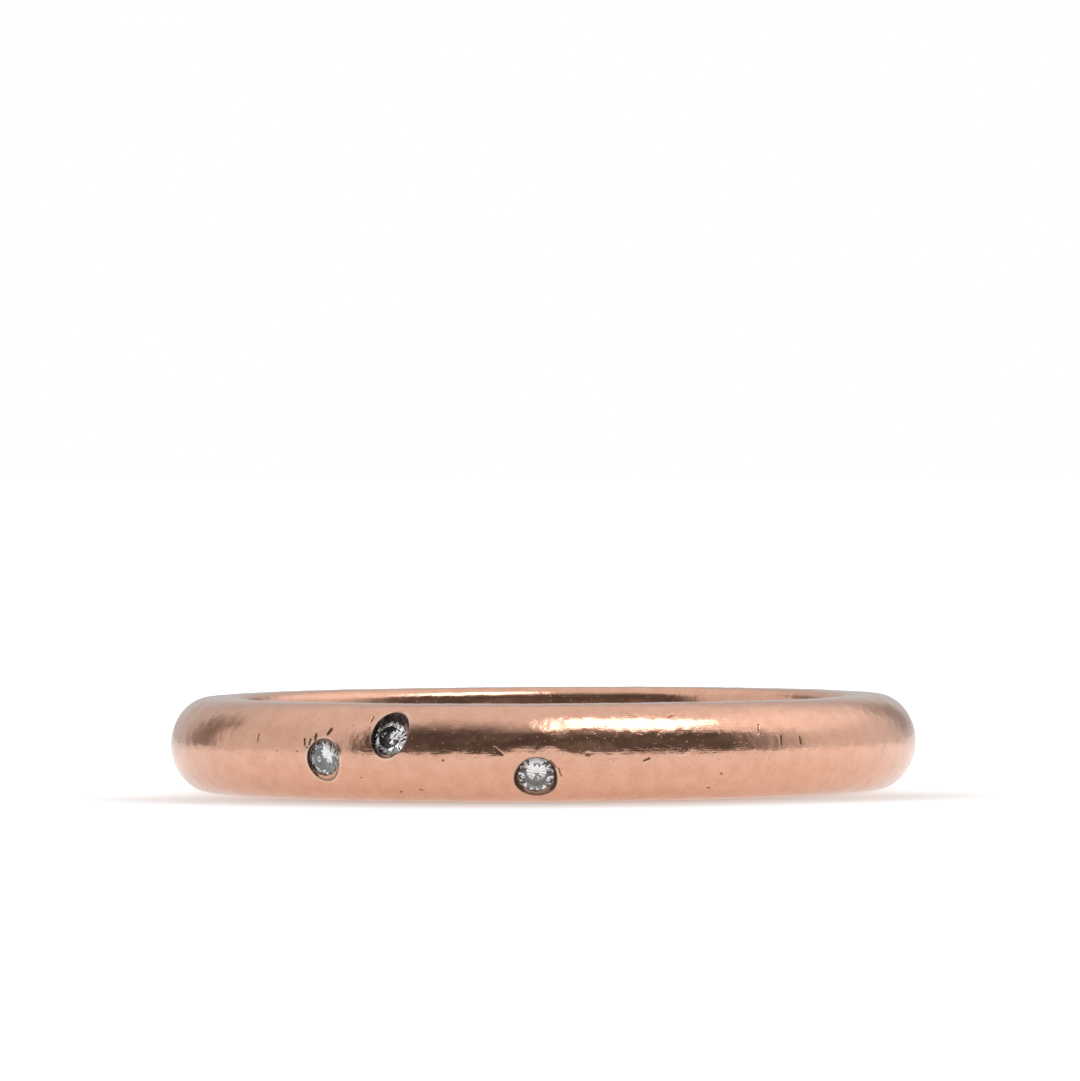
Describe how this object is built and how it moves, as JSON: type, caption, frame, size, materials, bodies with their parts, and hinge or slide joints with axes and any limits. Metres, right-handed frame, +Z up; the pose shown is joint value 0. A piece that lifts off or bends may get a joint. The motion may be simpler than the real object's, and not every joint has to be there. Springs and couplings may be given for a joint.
{
  "type": "stackable ring",
  "caption": "Domed rose gold finger ring lying on its side, with small round diamonds set flush off centre at the front.",
  "frame": {"origin": "middle of the finger hole, level with the side face that the ring lies on", "axes": "+Z up along the ring's own axis, -Y towards the stones at the front, +X to the right as they are looked at"},
  "size_m": [0.0212, 0.0212, 0.0027],
  "materials": {
    "rose_gold": "hand-polished rose gold with fine scratches and small dents",
    "diamond": "polished facets, clear"
  },
  "bodies": {
    "root": {"band": "rose_gold", "left_stone": "diamond", "middle_stone": "diamond", "right_stone": "diamond"}
  },
  "joints": []
}
